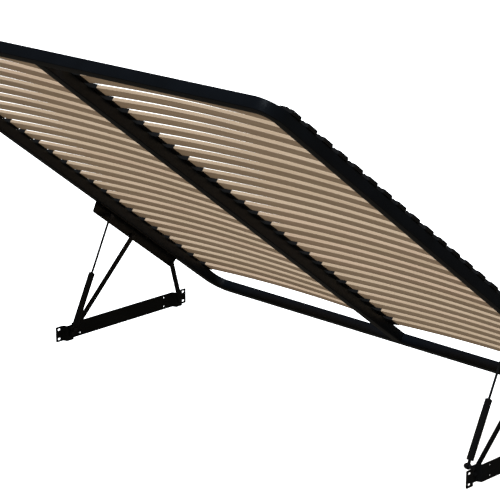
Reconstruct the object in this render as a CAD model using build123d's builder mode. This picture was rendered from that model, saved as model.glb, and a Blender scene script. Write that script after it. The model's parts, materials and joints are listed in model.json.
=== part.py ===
from build123d import *
import math
import os

# Lift-up slatted bed base, modelled open, as it stands when the storage box below it is in use.
# Frame: X across, Y towards the head end, Z up, in millimetres.
# The origin is on the left wall plate: the centre of its slotted screw pattern, on the face that
# meets the bed's side panel. Depths below are measured from that face into the bed.

# Slatted base
base_width = 1800.0
base_length = 2000.0
tube = 35.0                 # side of the square steel tube
tube_wall = 1.5
corner_radius = 72.0        # outside of the bent corners
beam_width = 40.0           # centre beam, as deep as the tube
beam_wall = 1.5
open_tilt = 37.8            # degrees
head_edge_y = 460.1         # lower head edge of the open base
head_edge_z = -7.0

# Slats and their holders
slat_pitch = 74.0
first_slat = 93.0           # from the foot end to the first slat's centre line
slat_width = 44.0
slat_thickness = 10.0
slat_crown = 13.0           # rise of the bow at mid span
slat_fit = 0.2              # clearance round a slat in its holder
end_gap = 1.0               # clearance behind a slat's end
holder_side = 1.8           # wall beside the slat
holder_floor = 1.2
holder_roof = 2.4
holder_lip = 8.0            # how far a rail holder reaches in past the tube
holder_overhang = 4.0       # how far it stands out past the tube
holder_back = 24.0          # closed part behind the slat's end
holder_wall = 3.5           # full-height wall behind the slat's end, before the low tail
holder_tail = (9.4, 7.0)    # tail's top above the tube, at the wall and at its outer rim
holder_step = 2.0           # recess of the holder's outer skirt
holder_rim = 2.5            # height of the skirt
holder_corner = 8.0         # rounding of the tail's outer corners, seen from above
centre_holder_width = 80.0
centre_web = 12.0           # wall between the two slat ends of a centre holder
peg = 8.0                   # square peg under each holder
peg_drop = 7.0
peg_fit = 0.1

# Side fittings: plates, links and gas springs
side_gap = 6.0              # between the base and the bed's side panel
plate_length = 617.0
plate_height = 55.0
plate_sheet = 3.0
plate_corner = 4.0
pad_depth = 18.0            # face of a pressed pad, from the wall face
pad_crest = 30.0
pad_base = 41.0
pad_bend = 4.0
front_pad_inset = 51.5      # pad's middle from the plate's end
rear_pad_inset = 46.5
slot_inset = 13.5           # slots' centres from the plate's ends
slot_edge = 10.5            # and from its long edges
slot_length = 12.0
slot_width = 7.5
screw_spacing_y = 400.0
screw_edge = 11.0
screw_hole = 5.5

front_pivot_offset = (4.0, -2.0)    # Y from the middle of its pad, and Z
rear_pivot_offset = (0.0, -2.0)
spring_pivot_offset = (-0.5, 18.0)
link_from_head = 514.0              # front link on the base, from its head end
rear_link_from_head = 276.0
spring_from_head = 668.0
link_drop = 28.0                    # below the tube
spring_drop = 20.0
link_width = 20.0
link_sheet = 4.0
washer_sheet = 0.5
washer_rim = 3.5                    # rims are widths outside the shank
spacer_rim = 4.0
pivot_radius = 4.0
running_gap = 0.06                  # radial, shank in a turning hole
flat_gap = 0.1                      # between flat faces that turn on each other
open_gap = 0.3                      # at the pivots that part a little in mid travel
rivet_head = 3.0
rivet_head_rim = 3.0
rivet_chamfer = 1.2
rivet_tail = 2.0
rivet_tail_rim = 2.0

bracket_sheet = 3.0
bracket_depth = 11.5                # its upright leg, from the wall face
bracket_edge = 9.0                  # below the links' pivots
bracket_leg = 25.5
bracket_foot_inset = 68.0           # past the gas spring's pivot
bracket_head_inset = 12.0           # past the rear link's pivot
bracket_relief = 51.0               # head end of the level leg, cut away over the rear link
bracket_slant = 8.0                 # lean of the upright leg's foot end
bracket_corner = 8.0
bracket_bend = 0.6                  # inside of the bend between the legs
bolt_count = 4
foot_bolt_inset = 26.0              # outermost bolts from the ends of the level leg
head_bolt_inset = 15.0
bolt_radius = 3.0
bolt_hole_gap = 0.3
bolt_head_across = 10.0
bolt_head = 4.0
bolt_length = 16.0
rivet_nut_wall = 1.5
rivet_nut_length = 12.0
thread_gap = 0.05

# Gas springs, lengths measured along the spring from the lower eye's centre
eye_rim = 5.5
eye_sheet = 10.0
neck_inset = 0.2                    # the neck is that much thinner than the eye, on each side
neck_length = 18.0
cylinder_radius = 11.0
cylinder_wall = 1.5
cylinder_floor = 2.5
cylinder_top = 204.0
cylinder_lip = 1.5                  # thickness and inward reach of the rolled lip
cylinder_chamfer = 1.5
gland_length = 13.0
seal_boss = 3.0
seal_boss_gap = 1.0                 # between the boss and the lip
piston_length = 10.0
piston_gap = 4.0                    # piston to gland, spring fully out
rod_radius = 4.0
piston_clearance = 0.3
neck_start = 6.0
stud_collar_rim = 2.0
nut_rim = 2.5                       # from the thread to the flats
nut_length = 6.0

# What fits round the pivots
washer_radius = pivot_radius + washer_rim
spacer_radius = pivot_radius + spacer_rim
rivet_head_radius = pivot_radius + rivet_head_rim
rivet_tail_radius = pivot_radius + rivet_tail_rim
stud_collar_radius = pivot_radius + stud_collar_rim
nut_across = 2 * (pivot_radius + nut_rim)
eye_radius = pivot_radius + eye_rim
neck_radius = eye_sheet / 2 - neck_inset
rivet_nut_radius = bolt_radius + rivet_nut_wall

# Layers, as depths from the wall face
wall_span = base_width + 2 * side_gap
link_face = pad_depth + washer_sheet + flat_gap
link_back = link_face + link_sheet
head_face = link_back + flat_gap
pad_back = pad_depth - plate_sheet
bracket_back = bracket_depth + bracket_sheet
spring_depth = head_face + rivet_head + open_gap + cylinder_radius
eye_face = spring_depth - eye_sheet / 2
eye_back = spring_depth + eye_sheet / 2

# Base plane: local x across from the centre line, y from the foot end, z up from the underside
tilt = math.radians(open_tilt)
down_length = Vector(0, math.cos(tilt), -math.sin(tilt))
foot_edge = Vector(wall_span / 2, head_edge_y, head_edge_z) - down_length * base_length
deck = Plane(origin=foot_edge, x_dir=(1, 0, 0), z_dir=(0, math.sin(tilt), math.cos(tilt)))

half_width = base_width / 2
slat_count = int((base_length - 2 * first_slat) / slat_pitch) + 1
slat_stations = [first_slat + slat_pitch * number for number in range(slat_count)]
holder_length = slat_width + 2 * (slat_fit + holder_side)

# Wall plate, Y and Z on its face
front_pad_y = front_pad_inset - plate_length / 2
rear_pad_y = plate_length / 2 - rear_pad_inset
front_pivot = (front_pad_y + front_pivot_offset[0], front_pivot_offset[1])
rear_pivot = (rear_pad_y + rear_pivot_offset[0], rear_pivot_offset[1])
spring_pivot = (front_pad_y + spring_pivot_offset[0], spring_pivot_offset[1])

# Bracket, in the base's own plane
bracket_outer = half_width + side_gap - bracket_depth
bracket_drop = link_drop + bracket_edge
bracket_foot = base_length - spring_from_head - bracket_foot_inset
bracket_head = base_length - rear_link_from_head + bracket_head_inset
bolt_line = bracket_outer - bracket_sheet - bracket_leg / 2
first_bolt = bracket_foot + foot_bolt_inset
last_bolt = bracket_head - bracket_relief - head_bolt_inset
bolt_pitch = (last_bolt - first_bolt) / (bolt_count - 1)
bolt_stations = [first_bolt + bolt_pitch * number for number in range(bolt_count)]


def deck_point(across, along, up):
    """A point of the tilted base."""
    return deck.from_local_coords(Vector(across, along, up))


def deck_top(across, along, up):
    """Plane parallel to the slats; sketch x is across, sketch y is towards the head end."""
    return Plane(origin=deck_point(across, along, up), x_dir=deck.x_dir, z_dir=deck.z_dir)


def deck_section(across, along, up):
    """Plane square to the length, facing the foot end; sketch x is across, sketch y is up."""
    return Plane(origin=deck_point(across, along, up), x_dir=deck.x_dir, z_dir=-deck.y_dir)


def deck_side(across, along, up):
    """Upright plane facing +X; sketch x is towards the head end, sketch y is up."""
    return Plane(origin=deck_point(across, along, up), x_dir=deck.y_dir, z_dir=deck.x_dir)


def hand(side):
    """-1 on the left, 1 on the right."""
    return -1 if side == "left" else 1


def at_depth(side, depth):
    """X of a point that lies this deep in from the side's wall face."""
    return depth if side == "left" else wall_span - depth


def layer(side, start, end):
    """Upright plane from which a piece that fills depths start to end is extruded towards +X."""
    return Plane.YZ.offset(min(at_depth(side, start), at_depth(side, end)))


def at_head(distance, drop):
    """Y and Z of a point of the base's side, from its head end and below its tube."""
    point = deck_point(0, base_length - distance, -drop)
    return (point.Y, point.Z)


def between(start, end):
    """Length and angle in degrees of the line from one (Y, Z) point to another."""
    rise = (end[0] - start[0], end[1] - start[1])
    return math.hypot(*rise), math.degrees(math.atan2(rise[1], rise[0]))


front_link_top = at_head(link_from_head, link_drop)
rear_link_top = at_head(rear_link_from_head, link_drop)
spring_top = at_head(spring_from_head, spring_drop)
front_link_length, front_link_angle = between(front_pivot, front_link_top)
rear_link_length, rear_link_angle = between(rear_pivot, rear_link_top)
spring_length, spring_angle = between(spring_pivot, spring_top)


os.makedirs("parts", exist_ok=True)


def save(piece, name):
    """Label a finished piece and write its file."""
    piece.label = name
    export_step(piece, f"parts/{name}.step")


# Frame tubes

def straight_tube(section_plane, width, wall, length):
    """Hollow tube, `length` long on both sides of the section plane together."""
    with BuildPart() as piece:
        with BuildSketch(section_plane):
            Rectangle(width, tube)
            Rectangle(width - 2 * wall, tube - 2 * wall, mode=Mode.SUBTRACT)
        extrude(amount=length / 2, both=True)
    return piece.part


def end_tube(along):
    """Tube across one end of the base, between the bent corners."""
    return straight_tube(deck_side(0, along, tube / 2), tube, tube_wall, base_width - 2 * corner_radius)


def side_rail(side):
    """Tube along one side, punched for the holders' pegs above and the bracket's bolts below."""
    across = hand(side) * (half_width - tube / 2)
    section_plane = deck_section(across, base_length / 2, tube / 2)
    with BuildPart() as rail:
        add(straight_tube(section_plane, tube, tube_wall, base_length - 2 * corner_radius))
        with BuildSketch(deck_top(across, 0, tube)):
            with Locations(*[(0, station) for station in slat_stations]):
                Rectangle(peg + 2 * peg_fit, peg + 2 * peg_fit)
        extrude(amount=-tube_wall, mode=Mode.SUBTRACT)
        with BuildSketch(deck_top(hand(side) * bolt_line, 0, 0)):
            with Locations(*[(0, station) for station in bolt_stations]):
                Circle(rivet_nut_radius)
        extrude(amount=tube_wall, mode=Mode.SUBTRACT)
    return rail.part


def corner_bend(side, end):
    """Quarter turn of the frame tube at one corner."""
    turn = hand(side) if end == "foot" else -hand(side)
    centre_along = corner_radius if end == "foot" else base_length - corner_radius
    tube_along = tube / 2 if end == "foot" else base_length - tube / 2
    across = hand(side) * (half_width - corner_radius)
    with BuildPart() as bend:
        with BuildSketch(deck_side(across, tube_along, tube / 2)):
            Rectangle(tube, tube)
            Rectangle(tube - 2 * tube_wall, tube - 2 * tube_wall, mode=Mode.SUBTRACT)
        revolve(axis=Axis(deck_point(across, centre_along, 0), deck.z_dir * turn), revolution_arc=90)
    return bend.part


save(end_tube(tube / 2), "foot_tube")
save(end_tube(base_length - tube / 2), "head_tube")
for side in ("left", "right"):
    save(side_rail(side), f"{side}_side_rail")
    for end in ("foot", "head"):
        save(corner_bend(side, end), f"{end}_{side}_bend")

with BuildPart() as centre_beam:
    add(straight_tube(deck_section(0, base_length / 2, tube / 2), beam_width, beam_wall,
                      base_length - 2 * tube))
    with BuildSketch(deck_top(0, 0, tube)):
        with Locations(*[(0, station) for station in slat_stations]):
            Rectangle(peg + 2 * peg_fit, peg + 2 * peg_fit)
    extrude(amount=-beam_wall, mode=Mode.SUBTRACT)
save(centre_beam.part, "centre_beam")


# Slats, sprung upwards, with their ends in moulded holders

slat_inner = centre_web / 2 + end_gap
slat_outer = half_width + holder_overhang - holder_back - end_gap
slat_seat = tube + holder_floor + slat_fit
holder_top = slat_seat + slat_thickness + slat_fit + holder_roof


def bow(inner, outer, rise, thickness):
    """Curved band from one end of a slat to the other, as a face for a section sketch."""
    mid = (inner + outer) / 2
    with BuildLine() as outline:
        top = ThreePointArc((inner, rise + thickness), (mid, rise + thickness + slat_crown),
                            (outer, rise + thickness))
        bottom = ThreePointArc((outer, rise), (mid, rise + slat_crown), (inner, rise))
        Line(top @ 1, bottom @ 0)
        Line(bottom @ 1, top @ 0)
    return make_face(outline.line)


def slat_row(side):
    """All slats of one row, each a separate bowed strip."""
    band = bow(slat_inner, slat_outer, slat_seat, slat_thickness)
    if side == "left":
        band = mirror(band, about=Plane.YZ, mode=Mode.PRIVATE)
    planes = [deck_section(0, station, 0) for station in slat_stations]
    with BuildPart() as row:
        with BuildSketch(*planes):
            add(band)
        extrude(amount=slat_width / 2, both=True)
    return row.part


def rail_holders(side):
    """Moulded holders that seat the slats' outer ends on a side rail."""
    outer = half_width + holder_overhang
    inner = half_width - tube - holder_lip
    skirt = outer - holder_step
    wall = outer - holder_back + holder_wall
    tail_high, tail_low = (tube + rise for rise in holder_tail)
    rim = tube + holder_rim
    planes = [deck_section(0, station, 0) for station in slat_stations]
    pocket = bow(slat_inner - end_gap, slat_outer + end_gap, slat_seat - slat_fit,
                 slat_thickness + 2 * slat_fit)
    sign = hand(side)
    with BuildPart() as holders:
        with BuildSketch(*planes):
            with BuildLine():
                Polyline((sign * inner, tube), (sign * skirt, tube), (sign * skirt, rim),
                         (sign * outer, rim + holder_step), (sign * outer, tail_low),
                         (sign * wall, tail_high), (sign * wall, holder_top),
                         (sign * inner, holder_top), close=True)
            make_face()
        extrude(amount=holder_length / 2, both=True)
        with BuildSketch(deck_top(0, 0, tube)) as plan:
            with Locations(*[(sign * (outer + inner) / 2, station) for station in slat_stations]):
                Rectangle(outer - inner, holder_length)
            fillet(plan.vertices().group_by(Axis.X)[-1 if sign > 0 else 0], holder_corner)
        extrude(amount=holder_top - tube, mode=Mode.INTERSECT)
        with BuildSketch(*planes):
            add(pocket if sign > 0 else mirror(pocket, about=Plane.YZ, mode=Mode.PRIVATE))
        extrude(amount=slat_width / 2 + slat_fit, both=True, mode=Mode.SUBTRACT)
        with BuildSketch(deck_top(sign * (half_width - tube / 2), 0, tube)):
            with Locations(*[(0, station) for station in slat_stations]):
                Rectangle(peg, peg)
        extrude(amount=-peg_drop)
    return holders.part


for side in ("left", "right"):
    save(slat_row(side), f"{side}_slats")
    save(rail_holders(side), f"{side}_slat_holders")

half = centre_holder_width / 2
holder_planes = [deck_section(0, station, 0) for station in slat_stations]
inner_pocket = bow(slat_inner - end_gap, slat_outer + end_gap, slat_seat - slat_fit,
                   slat_thickness + 2 * slat_fit)
with BuildPart() as centre_holders:
    with BuildSketch(*holder_planes):
        with BuildLine():
            Polyline((-half, tube + holder_floor), (-beam_width / 2, tube), (beam_width / 2, tube),
                     (half, tube + holder_floor), (half, holder_top), (-half, holder_top), close=True)
        make_face()
    extrude(amount=holder_length / 2, both=True)
    with BuildSketch(*holder_planes):
        add(inner_pocket)
        add(mirror(inner_pocket, about=Plane.YZ, mode=Mode.PRIVATE))
    extrude(amount=slat_width / 2 + slat_fit, both=True, mode=Mode.SUBTRACT)
    with BuildSketch(deck_top(0, 0, tube)):
        with Locations(*[(0, station) for station in slat_stations]):
            Rectangle(peg, peg)
    extrude(amount=-peg_drop)
save(centre_holders.part, "centre_slat_holders")


# Wall plates: a steel strip with two pressed pads that carry the pivots

def wall_plate(side):
    """Strip on the bed's side panel, folded out into a pad at each end and pierced for screws."""
    end = plate_length / 2
    path = [(plate_sheet, -end)]
    for pad in (front_pad_y, rear_pad_y):
        path += [(plate_sheet, pad - pad_base / 2), (pad_depth, pad - pad_crest / 2),
                 (pad_depth, pad + pad_crest / 2), (plate_sheet, pad + pad_base / 2)]
    path.append((plate_sheet, end))
    with BuildPart() as plate:
        with BuildSketch(Plane.XY.offset(-plate_height / 2)):
            with BuildLine():
                FilletPolyline(*[(at_depth(side, depth), along) for depth, along in path],
                               radius=pad_bend)
                offset(amount=plate_sheet, side=Side.LEFT if side == "left" else Side.RIGHT)
            make_face()
        extrude(amount=plate_height)
        fillet(plate.edges().filter_by(Axis.X), plate_corner)
        with BuildSketch(layer(side, 0, plate_sheet)):
            with GridLocations(plate_length - 2 * slot_inset, plate_height - 2 * slot_edge, 2, 2):
                SlotOverall(slot_length, slot_width)
            with GridLocations(screw_spacing_y, plate_height - 2 * screw_edge, 2, 2):
                Circle(screw_hole / 2)
        extrude(amount=plate_sheet, mode=Mode.SUBTRACT)
        with BuildSketch(layer(side, pad_back, pad_depth)):
            with Locations(front_pivot, rear_pivot, spring_pivot):
                Circle(pivot_radius)
        extrude(amount=plate_sheet, mode=Mode.SUBTRACT)
    return plate.part


def round_bar(side, centre, radius, start, end, mode=Mode.ADD):
    """Add or cut a round across the bed that fills depths start to end."""
    with BuildSketch(layer(side, start, end)) as section:
        with Locations(centre):
            Circle(radius)
    extrude(section.sketch, amount=end - start, mode=mode)


def hex_bar(side, centre, across, start, end):
    """Add a hexagon across the bed that fills depths start to end."""
    with BuildSketch(layer(side, start, end)) as section:
        with Locations(centre):
            RegularPolygon(across / 2, 6, major_radius=False)
    extrude(section.sketch, amount=end - start)


def inner_rim(piece, side):
    """Edges of the face that lies furthest into the bed."""
    return piece.faces().sort_by(Axis.X)[-1 if side == "left" else 0].edges()


def pivot_rivets(side):
    """Rivets in the pads, on which the two links turn."""
    with BuildPart() as rivets:
        for pivot in (front_pivot, rear_pivot):
            round_bar(side, pivot, rivet_head_radius, head_face, head_face + rivet_head)
        heads = rivets.faces().group_by(Axis.X)[-1 if side == "left" else 0]
        chamfer(heads.edges(), rivet_chamfer)
        for pivot in (front_pivot, rear_pivot):
            round_bar(side, pivot, pivot_radius, pad_back, head_face)
            round_bar(side, pivot, rivet_tail_radius, pad_back - rivet_tail, pad_back)
    return rivets.part


def pivot_washers(side):
    """Thin washers between the pads and the links."""
    with BuildPart() as washers:
        for pivot in (front_pivot, rear_pivot):
            round_bar(side, pivot, washer_radius, pad_depth, pad_depth + washer_sheet)
            round_bar(side, pivot, pivot_radius, pad_depth, pad_depth + washer_sheet, Mode.SUBTRACT)
    return washers.part


def lower_stud(side):
    """Shouldered stud that carries the gas spring's lower eye clear of the links."""
    with BuildPart() as stud:
        round_bar(side, spring_pivot, pivot_radius, pad_back, eye_back + nut_length)
        round_bar(side, spring_pivot, rivet_tail_radius, pad_back - rivet_tail, pad_back)
        round_bar(side, spring_pivot, stud_collar_radius, pad_depth, eye_face - open_gap)
    return stud.part


def stud_nut(side, centre, start):
    """Hexagon nut that keeps an eye on its stud."""
    with BuildPart() as nut:
        hex_bar(side, centre, nut_across, start, start + nut_length)
        round_bar(side, centre, pivot_radius, start, start + nut_length, Mode.SUBTRACT)
    return nut.part


# Links

def link(side, start, length, angle, upper_gap):
    """Flat bar with round ends from a pad up to the base; upper_gap widens its upper hole."""
    turn = math.radians(angle)
    top = (start[0] + length * math.cos(turn), start[1] + length * math.sin(turn))
    middle = ((start[0] + top[0]) / 2, (start[1] + top[1]) / 2)
    with BuildPart() as bar:
        with BuildSketch(layer(side, link_face, link_back)):
            with Locations(middle):
                SlotCenterToCenter(length, link_width, rotation=angle)
            with Locations(start):
                Circle(pivot_radius + running_gap, mode=Mode.SUBTRACT)
            with Locations(top):
                Circle(pivot_radius + upper_gap, mode=Mode.SUBTRACT)
        extrude(amount=link_sheet)
    return bar.part


def front_link_rivet(side):
    """Rivet and spacer on the base's bracket, on which the front link turns."""
    with BuildPart() as rivet:
        round_bar(side, front_link_top, rivet_head_radius, head_face, head_face + rivet_head)
        chamfer(inner_rim(rivet, side), rivet_chamfer)
        round_bar(side, front_link_top, pivot_radius, bracket_depth, head_face)
        round_bar(side, front_link_top, rivet_tail_radius, bracket_depth - rivet_tail, bracket_depth)
        round_bar(side, front_link_top, spacer_radius, bracket_back, link_face - flat_gap)
    return rivet.part


def rear_link_stud(side):
    """Stud in the rear link's upper end."""
    with BuildPart() as stud:
        round_bar(side, rear_link_top, rivet_head_radius, link_back, link_back + rivet_head)
        chamfer(inner_rim(stud, side), rivet_chamfer)
        round_bar(side, rear_link_top, pivot_radius, link_face, link_back)
        round_bar(side, rear_link_top, spacer_radius, bracket_back + open_gap, link_face)
    return stud.part


# Brackets under the side rails

def upper_bracket(side):
    """Angle under the side rail: the level leg bolts to the tube, the upright leg takes the pivots."""
    sign = hand(side)
    back = bracket_outer - bracket_sheet
    inner = back - bracket_leg
    with BuildPart() as bracket:
        with BuildSketch(deck_section(0, bracket_foot, 0)) as angle:
            with BuildLine():
                Polyline((sign * inner, 0), (sign * bracket_outer, 0),
                         (sign * bracket_outer, -bracket_drop), (sign * back, -bracket_drop),
                         (sign * back, -bracket_sheet), (sign * inner, -bracket_sheet), close=True)
            make_face()
            outer_bend = angle.vertices().group_by(Axis.Y)[-1].sort_by(Axis.X)[-1 if sign > 0 else 0]
            fillet(outer_bend, bracket_sheet + bracket_bend)
        extrude(amount=bracket_foot - bracket_head)
        with BuildSketch(deck_side(sign * inner, 0, 0)) as outline:
            with BuildLine():
                Polyline((bracket_foot, 0), (bracket_foot + bracket_slant, -bracket_drop),
                         (bracket_head, -bracket_drop), (bracket_head, 0), close=True)
            make_face()
            fillet(outline.vertices().group_by(Axis.Y)[0], bracket_corner)
        extrude(amount=sign * (bracket_outer - inner), mode=Mode.INTERSECT)
        relief_middle = bracket_head - bracket_relief / 2
        with BuildSketch(deck_top(sign * (inner + bracket_leg / 2), relief_middle, 0)):
            Rectangle(bracket_leg - bracket_bend, bracket_relief)
        extrude(amount=-bracket_sheet, mode=Mode.SUBTRACT)
        with BuildSketch(deck_top(sign * bolt_line, 0, 0)):
            with Locations(*[(0, station) for station in bolt_stations]):
                Circle(bolt_radius + bolt_hole_gap)
        extrude(amount=-bracket_sheet, mode=Mode.SUBTRACT)
        for pivot in (front_link_top, rear_link_top, spring_top):
            round_bar(side, pivot, pivot_radius, bracket_depth, bracket_back, Mode.SUBTRACT)
    return bracket.part


def bracket_bolts(side):
    """Hexagon bolts up through the bracket's level leg."""
    line = hand(side) * bolt_line
    with BuildPart() as bolts:
        with BuildSketch(deck_top(line, 0, -bracket_sheet)):
            with Locations(*[(0, station) for station in bolt_stations]):
                RegularPolygon(bolt_head_across / 2, 6, major_radius=False)
        extrude(amount=-bolt_head)
        with BuildSketch(deck_top(line, 0, -bracket_sheet)):
            with Locations(*[(0, station) for station in bolt_stations]):
                Circle(bolt_radius)
        extrude(amount=bolt_length)
    return bolts.part


def bracket_nuts(side):
    """Rivet nuts set in the underside of the rail."""
    line = hand(side) * bolt_line
    stations = [(0, station) for station in bolt_stations]
    with BuildPart() as nuts:
        with BuildSketch(deck_top(line, 0, 0)):
            with Locations(*stations):
                Circle(rivet_nut_radius)
        extrude(amount=rivet_nut_length)
        with BuildSketch(deck_top(line, 0, 0)):
            with Locations(*stations):
                Circle(bolt_radius + thread_gap)
        extrude(amount=rivet_nut_length, mode=Mode.SUBTRACT)
    return nuts.part


def stud_tails(side):
    """Clinched ends, in the bracket, of the rear link's and the gas spring's studs."""
    with BuildPart() as tails:
        for pivot in (rear_link_top, spring_top):
            round_bar(side, pivot, pivot_radius, bracket_depth, bracket_back)
            round_bar(side, pivot, rivet_tail_radius, bracket_depth - rivet_tail, bracket_depth)
    return tails.part


# Gas springs

def along_spring(side, distance):
    """Plane square to the gas spring at a distance from its lower eye."""
    turn = math.radians(spring_angle)
    origin = (at_depth(side, spring_depth), spring_pivot[0] + distance * math.cos(turn),
              spring_pivot[1] + distance * math.sin(turn))
    return Plane(origin=origin, x_dir=(1, 0, 0), z_dir=(0, math.cos(turn), math.sin(turn)))


def barrel(side, radius, start, end, mode=Mode.ADD):
    """Add or cut a round along the gas spring from start to end."""
    with BuildSketch(along_spring(side, start)) as section:
        Circle(radius)
    extrude(section.sketch, amount=end - start, mode=mode)


bore_radius = cylinder_radius - cylinder_wall
mouth_radius = bore_radius - cylinder_lip
bore_top = cylinder_top - cylinder_lip
gland_foot = bore_top - gland_length
piston_top = gland_foot - piston_gap
rod_end = spring_length - neck_length


def spring_eye(side, centre, start, end, hole):
    """Flat eye with a short neck, screwed on one end of the gas spring."""
    with BuildPart() as eye:
        round_bar(side, centre, eye_radius, eye_face, eye_back)
        barrel(side, neck_radius, start, end)
        round_bar(side, centre, hole, eye_face, eye_back, Mode.SUBTRACT)
    return eye.part


def spring_cylinder(side):
    """Pressure tube with a closed foot and a lip rolled in over the gland."""
    foot = neck_length
    with BuildPart() as cylinder:
        barrel(side, cylinder_radius, foot, cylinder_top)
        chamfer(cylinder.edges().filter_by(GeomType.CIRCLE), cylinder_chamfer)
        barrel(side, bore_radius, foot + cylinder_floor, bore_top, Mode.SUBTRACT)
        barrel(side, mouth_radius, bore_top, cylinder_top, Mode.SUBTRACT)
    return cylinder.part


def spring_gland(side):
    """Guide and seal at the cylinder's mouth."""
    with BuildPart() as gland:
        barrel(side, bore_radius, gland_foot, bore_top)
        barrel(side, mouth_radius - seal_boss_gap, bore_top, bore_top + seal_boss)
        barrel(side, rod_radius + running_gap, gland_foot, bore_top + seal_boss, Mode.SUBTRACT)
    return gland.part


def spring_piston(side):
    """Piston on the rod's inner end."""
    with BuildPart() as piston:
        barrel(side, bore_radius - piston_clearance, piston_top - piston_length, piston_top)
        barrel(side, rod_radius, piston_top - piston_length, piston_top, Mode.SUBTRACT)
    return piston.part


def spring_rod(side):
    """Piston rod, as it stands with the spring fully out."""
    with BuildPart() as rod:
        barrel(side, rod_radius, piston_top - piston_length, rod_end)
    return rod.part


def upper_stud(side):
    """Shouldered stud in the gas spring's upper eye, reaching out to the bracket."""
    with BuildPart() as stud:
        round_bar(side, spring_top, stud_collar_radius, bracket_back + open_gap, eye_face)
        round_bar(side, spring_top, pivot_radius, eye_face, eye_back + nut_length)
    return stud.part


def both(make, *details):
    """The same fasteners on both sides, as one group."""
    with BuildPart() as group:
        for side in ("left", "right"):
            add(make(side, *details))
    return group.part


save(both(pivot_rivets), "pivot_rivets")
save(both(pivot_washers), "pivot_washers")
save(both(lower_stud), "spring_lower_studs")
save(both(stud_nut, spring_pivot, eye_back + flat_gap), "spring_lower_nuts")
save(both(front_link_rivet), "front_link_rivets")
save(both(stud_tails), "stud_tails")
save(both(bracket_bolts), "bracket_bolts")
save(both(bracket_nuts), "bracket_rivet_nuts")
for side in ("left", "right"):
    save(wall_plate(side), f"{side}_wall_plate")
    save(link(side, front_pivot, front_link_length, front_link_angle, running_gap),
         f"{side}_front_link")
    save(link(side, rear_pivot, rear_link_length, rear_link_angle, 0), f"{side}_rear_link")
    save(rear_link_stud(side), f"{side}_rear_link_stud")
    save(upper_bracket(side), f"{side}_upper_bracket")
    save(spring_eye(side, spring_pivot, neck_start, neck_length, pivot_radius + running_gap),
         f"{side}_spring_lower_eye")
    save(spring_cylinder(side), f"{side}_spring_cylinder")
    save(spring_gland(side), f"{side}_spring_gland")
    save(spring_piston(side), f"{side}_spring_piston")
    save(spring_rod(side), f"{side}_spring_rod")
    save(spring_eye(side, spring_top, rod_end, spring_length - neck_start, pivot_radius),
         f"{side}_spring_upper_eye")
    save(upper_stud(side), f"{side}_spring_upper_stud")
    save(stud_nut(side, spring_top, eye_back), f"{side}_spring_upper_nut")
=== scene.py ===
"""Surfaces and finishes of a lift-up slatted bed base, built round its packed construction."""

import json
import math

import bmesh
import bpy
import numpy as np
from bpy.props import FloatProperty, FloatVectorProperty, IntProperty, PointerProperty
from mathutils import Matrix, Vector


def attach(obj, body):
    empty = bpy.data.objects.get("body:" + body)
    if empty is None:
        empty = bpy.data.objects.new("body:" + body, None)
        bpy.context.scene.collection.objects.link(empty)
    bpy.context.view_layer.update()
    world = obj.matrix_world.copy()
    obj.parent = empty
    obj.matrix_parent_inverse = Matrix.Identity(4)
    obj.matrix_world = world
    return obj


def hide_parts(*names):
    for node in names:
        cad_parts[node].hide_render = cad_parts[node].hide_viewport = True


bl_info = {
    "name": "Slatted Bed Base",
    "version": (1, 0, 0),
    "blender": (4, 5, 0),
    "location": "View3D > Sidebar > Bed Base",
    "description": "Surfaces and finishes for a lift-up slatted bed base",
    "category": "Object",
}

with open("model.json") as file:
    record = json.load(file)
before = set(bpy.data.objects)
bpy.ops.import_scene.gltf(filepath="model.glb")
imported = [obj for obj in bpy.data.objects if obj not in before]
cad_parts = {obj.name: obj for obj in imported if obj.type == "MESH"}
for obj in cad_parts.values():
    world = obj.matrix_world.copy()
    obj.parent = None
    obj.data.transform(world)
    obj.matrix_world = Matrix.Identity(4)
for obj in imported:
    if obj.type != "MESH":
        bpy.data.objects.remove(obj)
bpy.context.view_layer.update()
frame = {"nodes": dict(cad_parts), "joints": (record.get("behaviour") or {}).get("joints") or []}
JOINTS = {joint["name"]: joint for joint in frame["joints"]}
SIDES = {"left": -1, "right": 1}

# Lengths are in metres. The turns at which edges stay sharp are in degrees.

QUARTER_TURN = math.pi / 2
CORNERS = np.array([(1, 1), (-1, 1), (-1, -1), (1, -1)])
LEVEL_GAP = 0.001
SAME_PLACE = 1e-4
MERGE = 2e-6
FLAT_TURN = 0.5
SHEET_EDGE_TURN = 34.0
CURVE_EDGE_TURN = 40.0
BEAD_EDGE_TURN = 60.0
EASING_STEPS = 2


# Places read from the construction

def node_points(node):
    """All vertices of a node, as an array of places in metres."""
    mesh = frame["nodes"][node].data
    places = np.zeros(len(mesh.vertices) * 3, np.float32)
    mesh.vertices.foreach_get("co", places)
    return places.reshape(-1, 3).astype(float)


class Deck:
    """The tilted base's own frame: u across from the middle, v from the foot end, w up from the underside."""

    def __init__(self):
        foot, head = node_points("foot_tube"), node_points("head_tube")
        run = head.mean(0) - foot.mean(0)
        tilt = math.atan2(-run[2], run[1])
        self.across = np.array([1.0, 0.0, 0.0])
        self.along = np.array([0.0, math.cos(tilt), -math.sin(tilt)])
        self.up = np.array([0.0, math.sin(tilt), math.cos(tilt)])
        self.origin = ((foot[:, 0].min() + foot[:, 0].max()) / 2 * self.across
                       + (foot @ self.along).min() * self.along + (foot @ self.up).min() * self.up)
        self.length = ((head - self.origin) @ self.along).max()

    def place(self, u, v, w):
        """Places in metres of u, v and w, each a number or an array that broadcasts with the others."""
        u, v, w = np.broadcast_arrays(u, v, w)
        return (self.origin + u[..., None] * self.across + v[..., None] * self.along
                + w[..., None] * self.up)

    def node(self, name):
        """u, v and w of all vertices of a node."""
        away = node_points(name) - self.origin
        return np.stack([away @ self.across, away @ self.along, away @ self.up], -1)


DECK = Deck()


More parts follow.
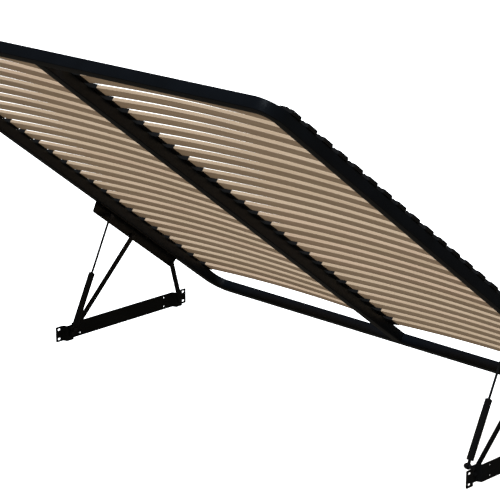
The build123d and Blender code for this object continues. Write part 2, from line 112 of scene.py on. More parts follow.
def slat_edges(node):
    """v of the foot-side and of the head-side edge of each slat of a row."""
    v = np.sort(DECK.node(node)[:, 1])
    steps = np.flatnonzero(np.diff(v) > LEVEL_GAP) + 1
    levels = np.array([level.mean() for level in np.split(v, steps)])
    return levels[0::2], levels[1::2]


# Meshes from arrays

def grid_faces(rows, columns, wrap_rows, wrap_columns):
    """Corners of the quads of a grid of places, numbered along its rows."""
    row = np.arange(rows if wrap_rows else rows - 1)[:, None]
    column = np.arange(columns if wrap_columns else columns - 1)[None, :]
    beside = (column + 1) % columns
    here, below = row * columns, (row + 1) % rows * columns
    return np.stack([here + column, here + beside, below + beside, below + column], -1).reshape(-1, 4)


def shell(name, places, wrap_rows=False, wrap_columns=True, caps=True):
    """Mesh object of one or more like grids of places, (copies, rows, columns, 3), with their ends
    closed where caps is on."""
    copies, rows, columns = places.shape[:3]
    quads = grid_faces(rows, columns, wrap_rows, wrap_columns)
    first = np.arange(copies)[:, None, None] * rows * columns
    faces = (quads[None] + first).reshape(-1, 4).tolist()
    if caps and not wrap_rows:
        ring = np.arange(columns)
        faces += (ring[::-1] + first[:, 0]).tolist()
        faces += (ring + (rows - 1) * columns + first[:, 0]).tolist()
    mesh = bpy.data.meshes.new(name)
    mesh.from_pydata(places.reshape(-1, 3).tolist(), [], faces)
    face_outwards(mesh)
    return linked(name, mesh)


def linked(name, mesh):
    """Object of a mesh, in the scene."""
    piece = bpy.data.objects.new(name, mesh)
    bpy.context.scene.collection.objects.link(piece)
    return piece


def face_outwards(mesh):
    """Turn every face of a closed mesh outwards."""
    body = bmesh.new()
    body.from_mesh(mesh)
    bmesh.ops.recalc_face_normals(body, faces=body.faces)
    body.to_mesh(mesh)
    body.free()


def smooth(piece, angle=CURVE_EDGE_TURN):
    """Smooth shading, broken at edges that turn by more than an angle in degrees."""
    mesh = piece.data
    mesh.polygons.foreach_set("use_smooth", np.ones(len(mesh.polygons), bool))
    mesh.set_sharp_from_angle(angle=math.radians(angle))
    return piece


def rounded_rectangle(width, height, radius, steps):
    """Outline of a rectangle about the origin with arcs for corners, (points, 2), counter-clockwise."""
    turn = np.linspace(0, QUARTER_TURN, steps + 1)
    angles = turn[None, :] + np.arange(4)[:, None] * QUARTER_TURN
    centres = CORNERS[:, None, :] * np.array([width / 2 - radius, height / 2 - radius])
    return (centres + radius * np.stack([np.cos(angles), np.sin(angles)], -1)).reshape(-1, 2)


def lathe(name, profile, centre, axis, steps):
    """Turned piece: each (radius, distance along the axis) of the profile goes once round the axis."""
    axis = Vector(axis).normalized()
    side = axis.orthogonal().normalized()
    other = axis.cross(side)
    turn = np.linspace(0, 2 * math.pi, steps, endpoint=False)
    ring = np.cos(turn)[:, None] * np.array(side) + np.sin(turn)[:, None] * np.array(other)
    radius, along = np.array(profile, float).T
    places = (np.array(centre) + radius[:, None, None] * ring[None]
              + along[:, None, None] * np.array(axis))
    return shell(name, places[None])


def rounded_profile(points, radius, steps):
    """Profile with every inner corner replaced by a quadratic curve that starts `radius` from it."""
    points = np.array(points, float)
    out = [points[0]]
    share = np.linspace(0, 1, steps + 1)[:, None]
    for before, here, after in zip(points, points[1:], points[2:]):
        reach = min(radius, np.linalg.norm(here - before) / 2, np.linalg.norm(after - here) / 2)
        start = here + (before - here) / np.linalg.norm(before - here) * reach
        end = here + (after - here) / np.linalg.norm(after - here) * reach
        out += list((1 - share) ** 2 * start + 2 * share * (1 - share) * here + share ** 2 * end)
    out.append(points[-1])
    return np.array(out)


def eased_copy(node, width):
    """The node's own shape with its edges eased, as a new piece that stands for it."""
    name = node + "_eased"
    mesh = frame["nodes"][node].data.copy()
    mesh.name = name
    body = bmesh.new()
    body.from_mesh(mesh)
    bmesh.ops.remove_doubles(body, verts=body.verts, dist=MERGE)
    bmesh.ops.dissolve_limit(body, angle_limit=math.radians(FLAT_TURN), verts=body.verts, edges=body.edges)
    body.to_mesh(mesh)
    body.free()
    piece = linked(name, mesh)
    ease = piece.modifiers.new("edges", "BEVEL")
    ease.width = width
    ease.segments = EASING_STEPS
    ease.limit_method = "ANGLE"
    ease.angle_limit = math.radians(SHEET_EDGE_TURN)
    ease.use_clamp_overlap = True
    ease.harden_normals = True
    return smooth(piece, SHEET_EDGE_TURN)


def settle(piece, body, slot, material, *nodes):
    """Give a piece its finish and its body, and let it stand for nodes."""
    piece.data.materials.clear()
    piece.data.materials.append(material)
    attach(piece, body)
    if nodes:
        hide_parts(*nodes)


def dress(node, material):
    """Give a node that keeps its own shape its finish."""
    materials = frame["nodes"][node].data.materials
    materials.clear()
    materials.append(material)


# Finishes

class Finish:
    """A material with a Principled shader, and the patterns that lead into it."""

    def __init__(self, name, specular=0.5):
        self.material = bpy.data.materials.new(name)
        self.material.use_nodes = True
        self.nodes = self.material.node_tree.nodes
        self.links = self.material.node_tree.links
        self.shader = self.nodes["Principled BSDF"]
        self.shader.inputs["Specular IOR Level"].default_value = specular
        self.relief = None

    def noise(self, scale, detail=3.0, rough=0.5, vector=None):
        """Noise texture's factor, on Object coordinates unless it is given others."""
        texture = self.nodes.new("ShaderNodeTexNoise")
        texture.inputs["Scale"].default_value = scale
        texture.inputs["Detail"].default_value = detail
        texture.inputs["Roughness"].default_value = rough
        place = vector or self.nodes.new("ShaderNodeTexCoord").outputs["Object"]
        self.links.new(place, texture.inputs["Vector"])
        return texture.outputs["Fac"]

    def ramp(self, factor, *stops):
        """Colour ramp over (position, colour) stops."""
        band = self.nodes.new("ShaderNodeValToRGB")
        elements = band.color_ramp.elements
        while len(elements) < len(stops):
            elements.new(0.5)
        for element, (position, colour) in zip(elements, stops):
            element.position = position
            element.color = (*colour, 1)
        self.links.new(factor, band.inputs["Fac"])
        return band.outputs["Color"]

    def multiply(self, first, second, share):
        """First colour multiplied by the second, by a share from 0 to 1."""
        mix = self.nodes.new("ShaderNodeMix")
        mix.data_type = "RGBA"
        mix.blend_type = "MULTIPLY"
        mix.inputs["Factor"].default_value = share
        self.links.new(first, mix.inputs["A"])
        self.links.new(second, mix.inputs["B"])
        return mix.outputs["Result"]

    def attribute(self, name):
        """Factor held by the piece's own attribute."""
        node = self.nodes.new("ShaderNodeAttribute")
        node.attribute_name = name
        return node.outputs["Fac"]

    def mapped(self, uv_map, scale):
        """Coordinates of one of the piece's own maps, scaled."""
        place = self.nodes.new("ShaderNodeUVMap")
        place.uv_map = uv_map
        mapping = self.nodes.new("ShaderNodeMapping")
        mapping.inputs["Scale"].default_value = scale
        self.links.new(place.outputs["UV"], mapping.inputs["Vector"])
        return mapping.outputs["Vector"]

    def base_colour(self, source):
        """Lead a colour into the shader."""
        self.links.new(source, self.shader.inputs["Base Color"])

    def clouded(self, colour, cloud, dark, light, dark_to=0.3, light_from=0.7):
        """Colour that drifts with a noise from a darker to a lighter shade of itself."""
        stops = (dark_to, scaled(colour, dark)), (light_from, scaled(colour, light))
        self.base_colour(self.ramp(cloud, *stops))

    def roughness(self, factor, low, high):
        """Roughness that follows a factor from low to high."""
        stretch = self.nodes.new("ShaderNodeMapRange")
        stretch.inputs["To Min"].default_value = low
        stretch.inputs["To Max"].default_value = high
        self.links.new(factor, stretch.inputs["Value"])
        self.links.new(stretch.outputs["Result"], self.shader.inputs["Roughness"])

    def bump(self, height, strength, distance):
        """Bump from a height, on top of the bumps before it."""
        node = self.nodes.new("ShaderNodeBump")
        node.inputs["Strength"].default_value = strength
        node.inputs["Distance"].default_value = distance
        self.links.new(height, node.inputs["Height"])
        if self.relief:
            self.links.new(self.relief, node.inputs["Normal"])
        self.relief = node.outputs["Normal"]
        self.links.new(self.relief, self.shader.inputs["Normal"])


def scaled(colour, factor):
    """Colour made lighter or darker."""
    return tuple(min(part * factor, 1.0) for part in colour)


def powder_coat(name, colour, rough, specular):
    """Baked powder paint: fine orange peel, faint pooling of the colour and of the gloss."""
    paint = Finish(name, specular)
    paint.clouded(colour, paint.noise(scale=9.0, detail=4.0), dark=0.8, light=1.25)
    paint.roughness(paint.noise(scale=45.0), low=rough - 0.06, high=rough + 0.06)
    paint.bump(paint.noise(scale=700.0, detail=2.0), strength=0.25, distance=0.0002)
    paint.bump(paint.noise(scale=2600.0, detail=1.0), strength=0.12, distance=0.00008)
    return paint.material


def moulded_plastic(name, colour, rough, specular=0.3):
    """Spark-eroded mould grain over a barely uneven black."""
    plastic = Finish(name, specular)
    plastic.clouded(colour, plastic.noise(scale=30.0), dark=0.8, light=1.3)
    plastic.roughness(plastic.noise(scale=160.0), low=rough - 0.07, high=rough + 0.07)
    plastic.bump(plastic.noise(scale=1800.0, detail=2.0, rough=0.7), strength=0.3, distance=0.00015)
    return plastic.material


def plated_steel(name, colour, rough, metal):
    """Blackened or nitrided steel with fine turning marks and slight stains."""
    steel = Finish(name)
    steel.clouded(colour, steel.noise(scale=60.0, detail=4.0), dark=0.7, light=1.5, light_from=0.75)
    steel.roughness(steel.noise(scale=300.0, detail=2.0), low=rough - 0.08, high=rough + 0.1)
    steel.bump(steel.noise(scale=1500.0, detail=2.0), strength=0.08, distance=0.00005)
    steel.shader.inputs["Metallic"].default_value = metal
    return steel.material


WHITE = (1, 1, 1)
GLUE = (0.8, 0.75, 0.68)
FIBRE_SHADE = (0.78, 0.74, 0.68)
SLAT_TONES = ((0.0, (0.93, 0.9, 0.86)), (0.5, (1, 0.985, 0.96)), (1.0, (1, 0.95, 0.93)))
FIBRE_SCALE = (7.0, 260.0, 1.0)
BROAD_SCALE = (1.4, 40.0, 1.0)


def slat_wood(name, light, dark):
    """Lacquered laminated wood: grain along the slat, plies across its thickness, tone by slat."""
    wood = Finish(name, specular=0.35)
    fibre = wood.noise(scale=1.0, detail=5.0, rough=0.6, vector=wood.mapped("grain", FIBRE_SCALE))
    broad = wood.noise(scale=1.0, detail=4.0, rough=0.55, vector=wood.mapped("grain", BROAD_SCALE))
    broad_colour = wood.ramp(broad, (0.25, dark), (0.7, light))
    fibre_colour = wood.ramp(fibre, (0.3, FIBRE_SHADE), (0.62, WHITE))
    grain = wood.multiply(broad_colour, fibre_colour, share=0.55)
    plies = wood.ramp(wood.attribute("ply"), (0.0, WHITE), (0.5, GLUE), (1.0, WHITE))
    layered = wood.multiply(grain, plies, share=0.35)
    tones = wood.ramp(wood.attribute("tone"), *SLAT_TONES)
    wood.base_colour(wood.multiply(layered, tones, share=1.0))
    wood.roughness(fibre, low=0.42, high=0.6)
    wood.bump(fibre, strength=0.2, distance=0.0003)
    return wood.material


def pale_floor(name, colour, glow):
    """Backlit matt floor, hardly uneven."""
    matt = Finish(name, specular=0.1)
    matt.clouded(colour, matt.noise(scale=1.5), dark=0.985, light=1.0)
    matt.shader.inputs["Roughness"].default_value = 0.9
    matt.shader.inputs["Emission Color"].default_value = (*WHITE, 1)
    matt.shader.inputs["Emission Strength"].default_value = glow
    return matt.material


# Sizes and colours that a user would change

def length(name, description, default):
    """Property for a length in metres."""
    return FloatProperty(name=name, description=description, default=default, min=0.0, unit="LENGTH")


def colour(name, description, default):
    """Property for a colour."""
    return FloatVectorProperty(name=name, description=description, default=default, size=3,
                               subtype="COLOR", min=0.0, max=1.0)


class SteelSettings(bpy.types.PropertyGroup):
    """Frame, fittings and fasteners"""

    tube_rounding: length("Tube rounding", "Radius of the square tube's own edges", 0.003)
    bend_steps: IntProperty(name="Bend steps", description="Facets along each bent corner", default=20)
    weld: length("Weld", "Half width of the weld beads at the centre beam", 0.0022)
    sheet_edge: length("Sheet edge", "Easing of the sheet steel's edges", 0.0005)
    tube_colour: colour("Tube colour", "Powder paint of the frame", (0.0021, 0.0030, 0.0045))
    fitting_colour: colour("Fitting colour", "Powder paint of plates and links", (0.0026, 0.0027, 0.0028))
    zinc_colour: colour("Zinc colour", "Blackened zinc of the fasteners", (0.010, 0.010, 0.011))
    washer_colour: colour("Washer colour", "Washers in the pivots", (0.008, 0.008, 0.008))


class SlatSettings(bpy.types.PropertyGroup):
    """Slats and their holders"""

    rounding: length("Edge rounding", "Radius of the slats' long edges", 0.0003)
    steps: IntProperty(name="Steps", description="Facets along each slat's bow", default=22)
    light: colour("Light wood", "Wood between the grain lines", (0.405, 0.312, 0.230))
    dark: colour("Dark wood", "Wood in the broad grain", (0.345, 0.259, 0.186))
    holder_edge: length("Holder edge", "Easing of the moulded holders' edges", 0.0009)
    holder_colour: colour("Holder colour", "Moulded holders", (0.006, 0.006, 0.0063))
    rim_height: length("Rim height", "How far the rim stands above the rail holder's low outer end", 0.0038)
    rim_width: length("Rim width", "Thickness of that rim", 0.0020)
    rim_corner: length("Rim corner", "Rounding of the rail holder's outer corners, from above", 0.008)


class SpringSettings(bpy.types.PropertyGroup):
    """Gas springs"""

    steps: IntProperty(name="Steps", description="Facets round the gas springs", default=48)
    lip: length("Lip", "Rounding of the cylinder's rolled lip and foot", 0.0022)
    rod_edge: length("Rod edge", "Easing of the rod's ends", 0.0004)
    paint: colour("Paint", "Gloss paint of the cylinders", (0.003, 0.003, 0.0032))
    rod_colour: colour("Rod colour", "Nitrided rods", (0.012, 0.012, 0.013))
    seal_colour: colour("Seal colour", "Polymer of the glands", (0.01, 0.01, 0.01))


class StageSettings(bpy.types.PropertyGroup):
    """Floor, lights and camera"""

    floor_level: FloatProperty(name="Floor level", description="Height of the floor", default=-0.22,
                               unit="LENGTH")
    floor_reach: length("Floor reach", "Half the floor's side", 60.0)
    floor_colour: colour("Floor colour", "Pale floor", (0.8, 0.8, 0.8))
    floor_glow: FloatProperty(name="Floor glow", description="Light of the backlit floor", default=1.0)
    key: FloatProperty(name="Key", description="Strength of the light from above the foot end", default=5.0)
    key_tint: colour("Key tint", "Colour of the light from above the foot end", (0.81, 0.91, 1.0))
    key_angle: FloatProperty(name="Key angle", description="Softness of that light", default=0.25,
                             subtype="ANGLE")
    sheen: FloatProperty(name="Sheen", description="Strength of its highlights alone", default=0.3)
    sky: FloatProperty(name="Sky", description="Strength of the even light from all round", default=0.62)
    sky_tint: colour("Sky tint", "Colour of the even light", (1.0, 0.925, 0.80))
    gloss: FloatProperty(name="Gloss", description="Brightness of the studio in reflections", default=0.05)
    focal: FloatProperty(name="Focal length", description="Camera lens in millimetres", default=151.70)


# Pieces

TUBE_CORNER_STEPS = 4
BEAM_STATIONS = 9
BEAD_STATIONS = 46
BEAD_SIDES = 12
BEAD_INSET = 0.004
BEAD_START = 0.02
BEAD_TAPER = 0.35
RIPPLE_HEIGHT = 0.12
RIPPLE_PITCH = 0.0024


class BEDBASE_OT_tube_frame(bpy.types.Operator):
    """Bent square tube round the base, and the beam welded in down its middle"""

    bl_idname = "bedbase.tube_frame"
    bl_label = "Tube frame"

    def execute(self, context):
        steel = context.scene.bedbase_steel
        paint = powder_coat("frame_powder_coat", steel.tube_colour, rough=0.36, specular=0.3)
        self.bent_tube(steel, paint)
        low, high = self.centre_beam(steel, paint)
        self.welds(steel, paint, low, high)
        return {"FINISHED"}

    def bent_tube(self, steel, paint):
        """Rounded square carried round a rounded rectangle: centre of turn + (bend radius + across) *
        outward direction, with the section's other size along the base's own upward direction."""
        foot = DECK.node("foot_tube")
        tube = np.ptp(foot[:, 1])
        half = max(abs(DECK.node(f"{side}_side_rail")[:, 0]).max() for side in SIDES)
        corner = half - np.ptp(foot[:, 0]) / 2
        section = rounded_rectangle(tube, tube, steel.tube_rounding, TUBE_CORNER_STEPS)
        turn = np.linspace(0, QUARTER_TURN, steel.bend_steps + 1)
        angles = (np.arange(4)[:, None] * QUARTER_TURN + turn[None, :]).ravel()
        outward = np.stack([np.cos(angles), np.sin(angles)], -1)
        reach = np.array([half - corner, DECK.length / 2 - corner])
        centres = np.repeat(CORNERS * reach, len(turn), axis=0)
        radius = corner - tube / 2 + section[None, :, :1]
        flat = centres[:, None, :] + radius * outward[:, None, :]
        height = np.broadcast_to(section[None, :, 1] + tube / 2, flat.shape[:2])
        places = DECK.place(flat[..., 0], flat[..., 1] + DECK.length / 2, height)
        piece = smooth(shell("bent_frame_tube", places[None], wrap_rows=True))
        settle(piece, "slatted_base", "frame", paint, "foot_tube", "head_tube", "left_side_rail",
               "right_side_rail", "foot_left_bend", "foot_right_bend", "head_left_bend", "head_right_bend")

    def centre_beam(self, steel, paint):
        """Rounded rectangle carried straight from the foot tube to the head tube; returns its corners."""
        local = DECK.node("centre_beam")
        low, high = local.min(0), local.max(0)
        width, _, height = high - low
        section = rounded_rectangle(width, height, steel.tube_rounding, TUBE_CORNER_STEPS)
        v = np.linspace(low[1], high[1], BEAM_STATIONS)
        places = DECK.place(section[None, :, 0], v[:, None], section[None, :, 1] + (low[2] + high[2]) / 2)
        settle(smooth(shell("centre_beam_tube", places[None])), "slatted_base", "frame", paint, "centre_beam")
        return low, high

    def welds(self, steel, paint, low, high):
        """Beads up both sides of the beam's ends: a round of radius r * (1 + ripple * sin(rise)) carried
        up each corner between beam and tube, drawn in at both ends."""
        rise = np.linspace(low[2] + BEAD_INSET, high[2] - BEAD_INSET, BEAD_STATIONS)
        turn = np.linspace(0, 2 * math.pi, BEAD_SIDES, endpoint=False)
        ends = np.sin(np.linspace(BEAD_START, math.pi - BEAD_START, BEAD_STATIONS)) ** BEAD_TAPER
        ripple = 1 + RIPPLE_HEIGHT * np.sin(rise * 2 * math.pi / RIPPLE_PITCH)
        radius = (steel.weld * ends * ripple)[:, None]
        beads = [DECK.place(u + radius * np.cos(turn), v + radius * np.sin(turn), rise[:, None])
                 for u in (low[0], high[0]) for v in (low[1], high[1])]
        piece = smooth(shell("beam_welds", np.stack(beads)), BEAD_EDGE_TURN)
        settle(piece, "slatted_base", "frame", paint)


SLAT_CORNER_STEPS = 3
WOOD_SEEDS = {"left": 5, "right": 8}
WOOD_STRETCH = 40.0
SHIFT_ACROSS = 3.0


class BEDBASE_OT_slats(bpy.types.Operator):
    """Both rows of bowed wooden slats"""

    bl_idname = "bedbase.slats"
    bl_label = "Slats"

    def execute(self, context):
        look = context.scene.bedbase_slats
        wood = slat_wood("laminated_wood", look.light, look.dark)
        for side in SIDES:
            self.row(look, wood, side)
        return {"FINISHED"}

    def row(self, look, wood, side):
        """Rounded rectangle carried along a flat bow: height = seat + crown * (1 - (x / half)^2), with x
        from the slat's middle, which is within 0.01 mm of the circular arc."""
        node = f"{side}_slats"
        local = DECK.node(node)
        foot_edges, head_edges = slat_edges(node)
        middles = (foot_edges + head_edges) / 2
        u_low, u_high = local[:, 0].min(), local[:, 0].max()
        half = (u_high - u_low) / 2
        width = (head_edges - foot_edges).mean()
        ends = local[abs(local[:, 0] - u_low) < SAME_PLACE]
        seat, thickness = ends[:, 2].min(), np.ptp(ends[:, 2])
        crown = local[:, 2].max() - seat - thickness
        section = rounded_rectangle(width, thickness, look.rounding, SLAT_CORNER_STEPS)
        x = np.linspace(-1, 1, look.steps + 1) * half
        rise = seat + thickness / 2 + crown * (1 - (x / half) ** 2)
        u = (u_low + u_high) / 2 + x
        places = DECK.place(u[None, :, None], middles[:, None, None] + section[None, None, :, 0],
                            rise[None, :, None] + section[None, None, :, 1])
        piece = smooth(shell(f"{side}_bowed_slats", places))
        self.grain(piece.data, places.shape[:3], x, section, thickness, WOOD_SEEDS[side])
        settle(piece, "slatted_base", "slats", wood, node)

    def grain(self, mesh, shape, x, section, thickness, seed):
        """Map "grain": metres along the slat, and metres across and up it, with another stretch of wood
        for each slat; "ply": plies through the thickness; "tone": one shade for each slat."""
        chance = np.random.default_rng(seed)
        shift = chance.uniform(0, WOOD_STRETCH, (shape[0], 1, 1))
        tone = chance.uniform(0, 1, (shape[0], 1, 1))
        across, height = section[None, None, :, 0], section[None, None, :, 1]
        along = np.broadcast_to(x[None, :, None] + shift, shape)
        around = np.broadcast_to(across + shift * SHIFT_ACROSS + height, shape)
        loops = np.zeros(len(mesh.loops), np.int32)
        mesh.loops.foreach_get("vertex_index", loops)
        grain = np.stack([along, around], -1).reshape(-1, 2)
        layer = mesh.uv_layers.new(name="grain")
        layer.data.foreach_set("uv", grain[loops].astype(np.float32).ravel())
        for name, values in (("ply", height / thickness + 0.5), ("tone", tone)):
            attribute = mesh.attributes.new(name, "FLOAT", "POINT")
            spread_out = np.ascontiguousarray(np.broadcast_to(values, shape), np.float32)
            attribute.data.foreach_set("value", spread_out.ravel())


RIM_CORNER_STEPS = 6
RIM_EDGE_SHARE = 1 / 3
RIM_EDGE_STEPS = 2


class BEDBASE_OT_holders(bpy.types.Operator):
    """Moulded holders on the rails and on the centre beam"""

    bl_idname = "bedbase.holders"
    bl_label = "Slat holders"

    def execute(self, context):
        look = context.scene.bedbase_slats
        plastic = moulded_plastic("holder_plastic", look.holder_colour, rough=0.5)
        for node in ("left_slat_holders", "right_slat_holders", "centre_slat_holders"):
            settle(eased_copy(node, look.holder_edge), "slatted_base", "holders", plastic, node)
        for side in SIDES:
            settle(self.rims(look, side), "slatted_base", "holders", plastic)
        return {"FINISHED"}

    def rims(self, look, side):
        """Raised rim round each rail holder's low outer end: a rounded rectangle carried out along one
        side, round two corners and back, centre of turn + (radius + across) * outward direction."""
        local = DECK.node(f"{side}_slat_holders")
        foot_edges, head_edges = slat_edges(f"{side}_slats")
        middles = (foot_edges + head_edges) / 2
        reach = abs(local[:, 0])
        outer = reach.max()
        wall = reach[local[:, 2] > local[:, 2].max() - LEVEL_GAP].max()
        low = local[reach > outer - SAME_PLACE, 2].max()
        inset = look.holder_edge + look.rim_width / 2
        half = middles[0] - local[:, 1].min() - inset
        radius = look.rim_corner - inset
        quarter = np.linspace(0, QUARTER_TURN, RIM_CORNER_STEPS + 1)
        angles = np.concatenate([[-QUARTER_TURN], quarter - QUARTER_TURN, quarter, [QUARTER_TURN]])
        centre_u = np.full(len(angles), outer - inset - radius)
        centre_u[[0, -1]] = wall - LEVEL_GAP / 2
        foot_half = np.arange(len(angles)) < len(angles) / 2
        centre_v = np.where(foot_half, radius - half, half - radius)
        section = rounded_rectangle(look.rim_width, 2 * look.rim_height, look.rim_width * RIM_EDGE_SHARE,
                                    RIM_EDGE_STEPS)
        away = radius + section[None, :, 0]
        u = centre_u[:, None] + away * np.cos(angles)[:, None]
        v = centre_v[:, None] + away * np.sin(angles)[:, None]
        places = DECK.place(SIDES[side] * u, v + middles[:, None, None], low + section[:, 1])
        return smooth(shell(f"{side}_holder_rims", places))


class BEDBASE_OT_fittings(bpy.types.Operator):
    """Wall plates, links and the brackets under the rails"""

    bl_idname = "bedbase.fittings"
    bl_label = "Plates, links and brackets"

    def execute(self, context):
        steel = context.scene.bedbase_steel
        paint = powder_coat("fitting_powder_coat", steel.fitting_colour, rough=0.4, specular=0.25)
        for side in SIDES:
            bodies = {
                f"{side}_wall_plate": "wall_plates",
                f"{side}_upper_bracket": "slatted_base",
                f"{side}_front_link": f"{side}_front_link",
                f"{side}_rear_link": f"{side}_rear_link",
            }
            for node, body in bodies.items():
                settle(eased_copy(node, steel.sheet_edge), body, "fittings", paint, node)
        return {"FINISHED"}


CYLINDER_POLE = 0.0005
ROD_POLE = 0.0003
LIP_STEPS = 6
ROD_EDGE_STEPS = 3
EYE_EDGE_SHARE = 1 / 3


class BEDBASE_OT_gas_springs(bpy.types.Operator):
    """Cylinders, rods and eyes of both gas springs"""

    bl_idname = "bedbase.gas_springs"
    bl_label = "Gas springs"

    def execute(self, context):
        look = context.scene.bedbase_springs
        paint = powder_coat("spring_gloss_paint", look.paint, rough=0.25, specular=0.35)
        nitrided = plated_steel("nitrided_rod", look.rod_colour, rough=0.3, metal=0.6)
        seal = moulded_plastic("seal_polymer", look.seal_colour, rough=0.6)
        for side in SIDES:
            pivot = np.array(JOINTS[f"{side}_spring_pivot"]["pos_m"])
            axis = np.array(JOINTS[f"{side}_rod_slide"]["axis"], float)
            self.cylinder(look, side, pivot, axis, paint)
            self.rod(look, side, pivot, axis, nitrided)
            dress(f"{side}_spring_gland", seal)
            for eye, body in (("spring_lower_eye", "spring_cylinder"), ("spring_upper_eye", "spring_rod")):
                node = f"{side}_{eye}"
                eased = eased_copy(node, look.lip * EYE_EDGE_SHARE)
                settle(eased, f"{side}_{body}", "spring", paint, node)
        return {"FINISHED"}

    def extent(self, node, pivot, axis):
        """Least and greatest distance along the spring's axis, and greatest distance from it."""
        away = node_points(node) - pivot
        along = away @ axis
        radius = np.linalg.norm(away - along[:, None] * axis, axis=1)
        return along.min(), along.max(), radius.max()

    def cylinder(self, look, side, pivot, axis, paint):
        """Turned profile with a rounded foot and a lip rolled in over the gland, hollow at its mouth."""
        node = f"{side}_spring_cylinder"
        low, high, radius = self.extent(node, pivot, axis)
        boss = self.extent(f"{side}_spring_gland", pivot, axis)[1] - high
        mouth = radius - 2 * look.lip
        outside = [(CYLINDER_POLE, low), (radius, low), (radius, high), (mouth, high),
                   (mouth, high - boss)]
        inside = [(radius - look.lip, high - 2 * boss), (CYLINDER_POLE, high - 2 * boss)]
        profile = np.vstack([rounded_profile(outside, look.lip, LIP_STEPS), inside])
        piece = smooth(lathe(f"{side}_gas_cylinder", profile, pivot, axis, look.steps))
        settle(piece, node, "spring", paint, node)

    def rod(self, look, side, pivot, axis, nitrided):
        """Turned profile of a plain bar with eased ends."""
        node = f"{side}_spring_rod"
        low, high, radius = self.extent(node, pivot, axis)
        outside = [(ROD_POLE, low), (radius, low), (radius, high), (ROD_POLE, high)]
        profile = rounded_profile(outside, look.rod_edge, ROD_EDGE_STEPS)
        piece = smooth(lathe(f"{side}_piston_rod", profile, pivot, axis, look.steps))
        settle(piece, node, "rod", nitrided, node)


class BEDBASE_OT_fasteners(bpy.types.Operator):
    """Rivets, studs, nuts, bolts and washers"""

    bl_idname = "bedbase.fasteners"
    bl_label = "Fasteners"

    def execute(self, context):
        steel = context.scene.bedbase_steel
        zinc = plated_steel("blackened_zinc", steel.zinc_colour, rough=0.38, metal=0.5)
        dress("pivot_washers", moulded_plastic("washer_polymer", steel.washer_colour, rough=0.55))
        bodies = {
            "pivot_rivets": "wall_plates",
            "spring_lower_studs": "wall_plates",
            "spring_lower_nuts": "wall_plates",
            "front_link_rivets": "slatted_base",
            "stud_tails": "slatted_base",
            "bracket_bolts": "slatted_base",
            "bracket_rivet_nuts": "slatted_base",
        }
        for side in SIDES:
            dress(f"{side}_spring_piston", zinc)
            bodies[f"{side}_rear_link_stud"] = f"{side}_rear_link"
            bodies[f"{side}_spring_upper_stud"] = f"{side}_spring_rod"
            bodies[f"{side}_spring_upper_nut"] = f"{side}_spring_rod"
        for node, body in bodies.items():
            settle(eased_copy(node, steel.sheet_edge), body, "hardware", zinc, node)
        return {"FINISHED"}


# Stage

KEY_FROM = (0.22, -0.38, 0.9)
CAMERA_PLACE = (5.296, -4.724, 2.393)
CAMERA_TURN = (90 - 16.921, 0.102, 44.574)
SENSOR_WIDTH = 36.0
FARTHEST = 200.0


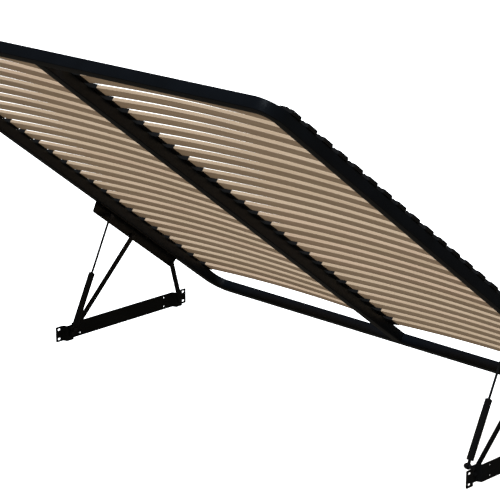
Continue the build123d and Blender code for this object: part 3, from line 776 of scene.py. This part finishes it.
class BEDBASE_OT_stage(bpy.types.Operator):
    """Pale floor, soft studio light and the camera"""

    bl_idname = "bedbase.stage"
    bl_label = "Stage"

    def execute(self, context):
        look = context.scene.bedbase_stage
        context.scene.view_settings.view_transform = "Standard"
        self.floor(look)
        self.studio(context.scene, look)
        self.lamp("key", look, look.key)
        self.lamp("sheen", look, look.sheen)
        self.camera(context.scene, look)
        return {"FINISHED"}

    def floor(self, look):
        """Wide flat square, which lights nothing itself and shows in no reflection."""
        u = np.linspace(-look.floor_reach, look.floor_reach, 3)
        places = np.stack(np.meshgrid(u, u, [look.floor_level], indexing="ij"), -1)
        piece = shell("floor", places.reshape(1, 3, 3, 3), wrap_columns=False, caps=False)
        piece.data.materials.append(pale_floor("pale_floor", look.floor_colour, look.floor_glow))
        piece.visible_diffuse = False
        piece.visible_glossy = False

    def studio(self, scene, look):
        """Even light from all round, dim in reflections and white behind the object."""
        world = bpy.data.worlds.new("studio")
        world.use_nodes = True
        nodes, links = world.node_tree.nodes, world.node_tree.links
        ray = nodes.new("ShaderNodeLightPath")
        shade = nodes["Background"]
        shade.inputs["Color"].default_value = (*look.sky_tint, 1)
        shade.inputs["Strength"].default_value = look.sky
        for tint, strength, seen_by in ((look.sky_tint, look.gloss, "Is Glossy Ray"),
                                        (WHITE, look.floor_glow, "Is Camera Ray")):
            other = nodes.new("ShaderNodeBackground")
            other.inputs["Color"].default_value = (*tint, 1)
            other.inputs["Strength"].default_value = strength
            choice = nodes.new("ShaderNodeMixShader")
            links.new(ray.outputs[seen_by], choice.inputs["Fac"])
            links.new(shade.outputs[0], choice.inputs[1])
            links.new(other.outputs[0], choice.inputs[2])
            shade = choice
        links.new(shade.outputs[0], nodes["World Output"].inputs["Surface"])
        scene.world = world

    def lamp(self, name, look, strength):
        """Soft light from above the foot end: the key lights surfaces, the sheen only shines on them."""
        light = bpy.data.lights.new(name, "SUN")
        light.energy = strength
        light.color = look.key_tint
        light.angle = look.key_angle
        holder = bpy.data.objects.new(name, light)
        holder.rotation_euler = Vector(KEY_FROM).to_track_quat("Z", "Y").to_euler()
        holder.visible_diffuse = name == "key"
        holder.visible_glossy = name == "sheen"
        bpy.context.scene.collection.objects.link(holder)

    def camera(self, scene, look):
        """Camera at the photograph's viewpoint, in the part's own frame."""
        lens = bpy.data.cameras.new("camera")
        lens.sensor_width = SENSOR_WIDTH
        lens.lens = look.focal
        lens.clip_end = FARTHEST
        holder = bpy.data.objects.new("camera", lens)
        holder.location = CAMERA_PLACE
        holder.rotation_euler = [math.radians(part) for part in CAMERA_TURN]
        scene.collection.objects.link(holder)
        scene.camera = holder


# Panel and registering

class BEDBASE_PT_panel(bpy.types.Panel):
    """Lists the pieces and their settings"""

    bl_label = "Bed base"
    bl_idname = "BEDBASE_PT_panel"
    bl_space_type = "VIEW_3D"
    bl_region_type = "UI"
    bl_category = "Bed Base"

    def draw(self, context):
        for settings in SETTINGS:
            group = getattr(context.scene, settings)
            for name in group.bl_rna.properties.keys():
                if name not in ("rna_type", "name"):
                    self.layout.prop(group, name)
        for operator in OPERATORS:
            self.layout.operator(operator.bl_idname)


SETTINGS = {"bedbase_steel": SteelSettings, "bedbase_slats": SlatSettings,
            "bedbase_springs": SpringSettings, "bedbase_stage": StageSettings}
OPERATORS = (BEDBASE_OT_stage, BEDBASE_OT_tube_frame, BEDBASE_OT_slats, BEDBASE_OT_holders,
             BEDBASE_OT_fittings, BEDBASE_OT_gas_springs, BEDBASE_OT_fasteners)
CLASSES = (*SETTINGS.values(), *OPERATORS, BEDBASE_PT_panel)


def register():
    """Make the settings, operators and panel known."""
    for part in CLASSES:
        bpy.utils.register_class(part)
    for name, settings in SETTINGS.items():
        setattr(bpy.types.Scene, name, PointerProperty(type=settings))


def unregister():
    """Take them away again."""
    for name in SETTINGS:
        delattr(bpy.types.Scene, name)
    for part in reversed(CLASSES):
        bpy.utils.unregister_class(part)


def main():
    """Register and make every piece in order."""
    register()
    bpy.ops.bedbase.stage()
    bpy.ops.bedbase.tube_frame()
    bpy.ops.bedbase.slats()
    bpy.ops.bedbase.holders()
    bpy.ops.bedbase.fittings()
    bpy.ops.bedbase.gas_springs()
    bpy.ops.bedbase.fasteners()


if __name__ == "__main__":
    main()
